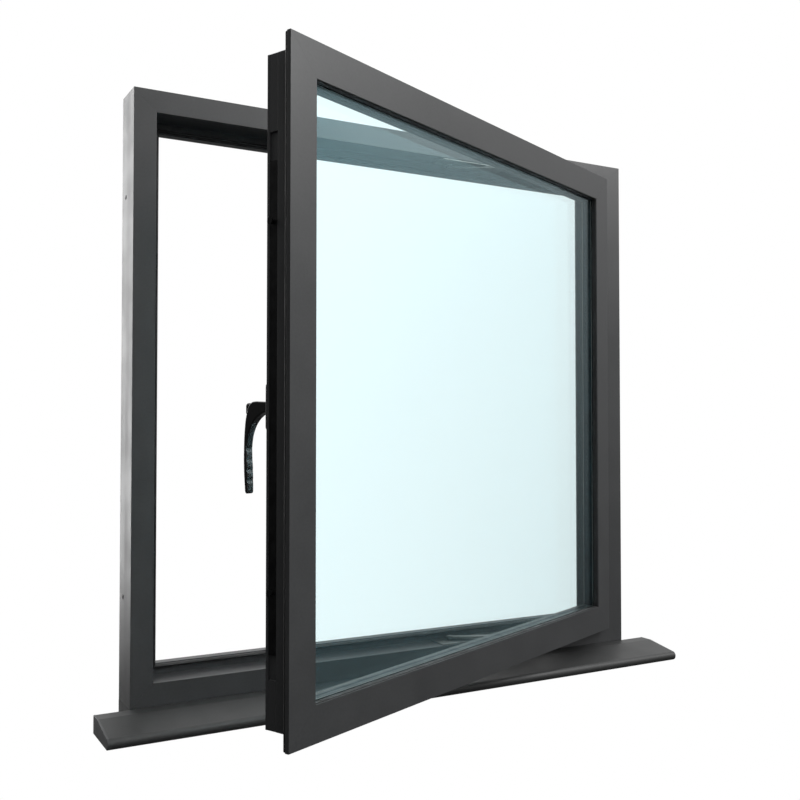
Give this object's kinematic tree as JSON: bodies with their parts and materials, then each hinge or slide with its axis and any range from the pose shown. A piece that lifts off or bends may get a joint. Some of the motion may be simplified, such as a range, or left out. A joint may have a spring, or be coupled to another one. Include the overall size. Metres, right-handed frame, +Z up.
{
  "type": "casement window",
  "caption": "Outward opening side-hung casement window: double glazed sash on friction stays, lever handle with push button, and a projecting horned sill.",
  "frame": {"origin": "middle of the width, on the plane of the frame's outer face and on the sill's underside", "axes": "+X along the wall to the hinge side, seen from outside on the right; +Y into the building; +Z up"},
  "size_m": [1.11, 0.4685, 1],
  "materials": {
    "anthracite_coated_aluminium": "satin anthracite powder coat on extruded aluminium",
    "coated_polyamide": "glass filled polyamide strip, powder coated with the profile",
    "sill_cap_plastic": "moulded cap, colour matched to the sill",
    "epdm_rubber": "extruded black EPDM",
    "float_glass": "clear float glass",
    "butyl_sealant": "black edge sealant",
    "spacer_aluminium": "mill finish hollow spacer bar",
    "setting_block_plastic": "hard plastic packer",
    "mill_aluminium": "mill finish extruded cleat",
    "stainless_steel": "brushed stainless steel strip",
    "zinc_plated_steel": "bright zinc plate",
    "black_zinc_steel": "black passivated zinc plate",
    "handle_black_coat": "semi gloss black coat on cast zinc",
    "button_black_plastic": "gloss black moulded plastic"
  },
  "bodies": {
    "frame": {"frame_bottom_inner_shell": "anthracite_coated_aluminium", "frame_bottom_outer_shell": "anthracite_coated_aluminium", "frame_corner_cleats": "mill_aluminium", "frame_hardware_screws": "stainless_steel", "frame_inner_gasket": "epdm_rubber", "frame_left_inner_shell": "anthracite_coated_aluminium", "frame_left_outer_shell": "anthracite_coated_aluminium", "frame_right_inner_shell": "anthracite_coated_aluminium", "frame_right_outer_shell": "anthracite_coated_aluminium", "frame_thermal_break": "coated_polyamide", "frame_top_inner_shell": "anthracite_coated_aluminium", "frame_top_outer_shell": "anthracite_coated_aluminium", "lower_keep": "black_zinc_steel", "lower_stay_track": "stainless_steel", "lower_stay_track_rivets": "stainless_steel", "sill": "anthracite_coated_aluminium", "sill_end_cap_left": "sill_cap_plastic", "sill_end_cap_right": "sill_cap_plastic", "upper_keep": "black_zinc_steel", "upper_stay_track": "stainless_steel", "upper_stay_track_rivets": "stainless_steel"},
    "sash": {"glass_edge_seal": "butyl_sealant", "glass_spacer_bar": "spacer_aluminium", "glazing_bead_bottom": "anthracite_coated_aluminium", "glazing_bead_left": "anthracite_coated_aluminium", "glazing_bead_right": "anthracite_coated_aluminium", "glazing_bead_top": "anthracite_coated_aluminium", "handle_base": "handle_black_coat", "inner_glass_pane": "float_glass", "lock_gearbox": "zinc_plated_steel", "lower_stay_bar_rivets": "stainless_steel", "lower_stay_sash_bar": "stainless_steel", "outer_glass_pane": "float_glass", "outer_glazing_gasket": "epdm_rubber", "sash_bar_screws": "stainless_steel", "sash_bottom_inner_shell": "anthracite_coated_aluminium", "sash_bottom_outer_shell": "anthracite_coated_aluminium", "sash_corner_cleats": "mill_aluminium", "sash_flange_gasket": "epdm_rubber", "sash_left_inner_shell": "anthracite_coated_aluminium", "sash_left_outer_shell": "anthracite_coated_aluminium", "sash_right_inner_shell": "anthracite_coated_aluminium", "sash_right_outer_shell": "anthracite_coated_aluminium", "sash_thermal_break": "coated_polyamide", "sash_top_inner_shell": "anthracite_coated_aluminium", "sash_top_outer_shell": "anthracite_coated_aluminium", "setting_blocks": "setting_block_plastic", "upper_stay_bar_rivets": "stainless_steel", "upper_stay_sash_bar": "stainless_steel", "wedge_glazing_gasket": "epdm_rubber"},
    "upper_stay_arm": {"upper_stay_arm": "stainless_steel"},
    "upper_stay_link": {"upper_stay_link": "stainless_steel"},
    "lower_stay_arm": {"lower_stay_arm": "stainless_steel"},
    "lower_stay_link": {"lower_stay_link": "stainless_steel"},
    "lock_rail": {"lock_drive_rail": "black_zinc_steel", "lock_cams": "black_zinc_steel"},
    "handle": {"handle_lever": "handle_black_coat", "handle_spindle": "zinc_plated_steel"},
    "push_button": {"push_button": "button_black_plastic"}
  },
  "joints": [
    {"name": "upper_arm_turn", "type": "hinge", "parent": "frame", "child": "upper_stay_arm", "pos_m": [0.1011, 0.034, 0.98], "axis": [0, 0, 1], "range_deg": [-31, 24]},
    {"name": "sash_turn", "type": "hinge", "parent": "upper_stay_arm", "child": "sash", "pos_m": [0.27628, -0.0458, 0.98], "axis": [0, 0, 1], "range_deg": [-48, 62]},
    {"name": "lower_arm_turn", "type": "hinge", "parent": "frame", "child": "lower_stay_arm", "pos_m": [0.1011, 0.034, 0.06], "axis": [0, 0, 1], "range_deg": [-31, 24]},
    {"name": "upper_link_turn", "type": "hinge", "parent": "frame", "child": "upper_stay_link", "pos_m": [0.1663, 0.0091, 0.98], "axis": [0, 0, 1], "range_deg": [-37.64, 29.14]},
    {"name": "lower_link_turn", "type": "hinge", "parent": "frame", "child": "lower_stay_link", "pos_m": [0.1663, 0.0091, 0.06], "axis": [0, 0, 1], "range_deg": [-37.64, 29.14]},
    {"name": "handle_turn", "type": "hinge", "parent": "sash", "child": "handle", "pos_m": [-0.39538, -0.331, 0.492], "axis": [0.4067, -0.9135, 0], "range_deg": [0, 90]},
    {"name": "drive_rail_slide", "type": "slide", "parent": "sash", "child": "lock_rail", "axis": [0, 0, 1], "range_m": [0, 0.01802]},
    {"name": "button_press", "type": "slide", "parent": "handle", "child": "push_button", "axis": [0.4067, -0.9135, 0], "range_m": [0, 0.003], "stiffness_N_per_m": 300}
  ],
  "couplings": [
    {"joint": "upper_arm_turn", "follows": "sash_turn", "ratio": -0.5},
    {"joint": "lower_arm_turn", "follows": "sash_turn", "ratio": -0.5},
    {"joint": "upper_link_turn", "follows": "sash_turn", "ratio": -0.6069},
    {"joint": "lower_link_turn", "follows": "sash_turn", "ratio": -0.6069},
    {"joint": "drive_rail_slide", "follows": "handle_turn", "m_per_rad": 0.011459}
  ]
}
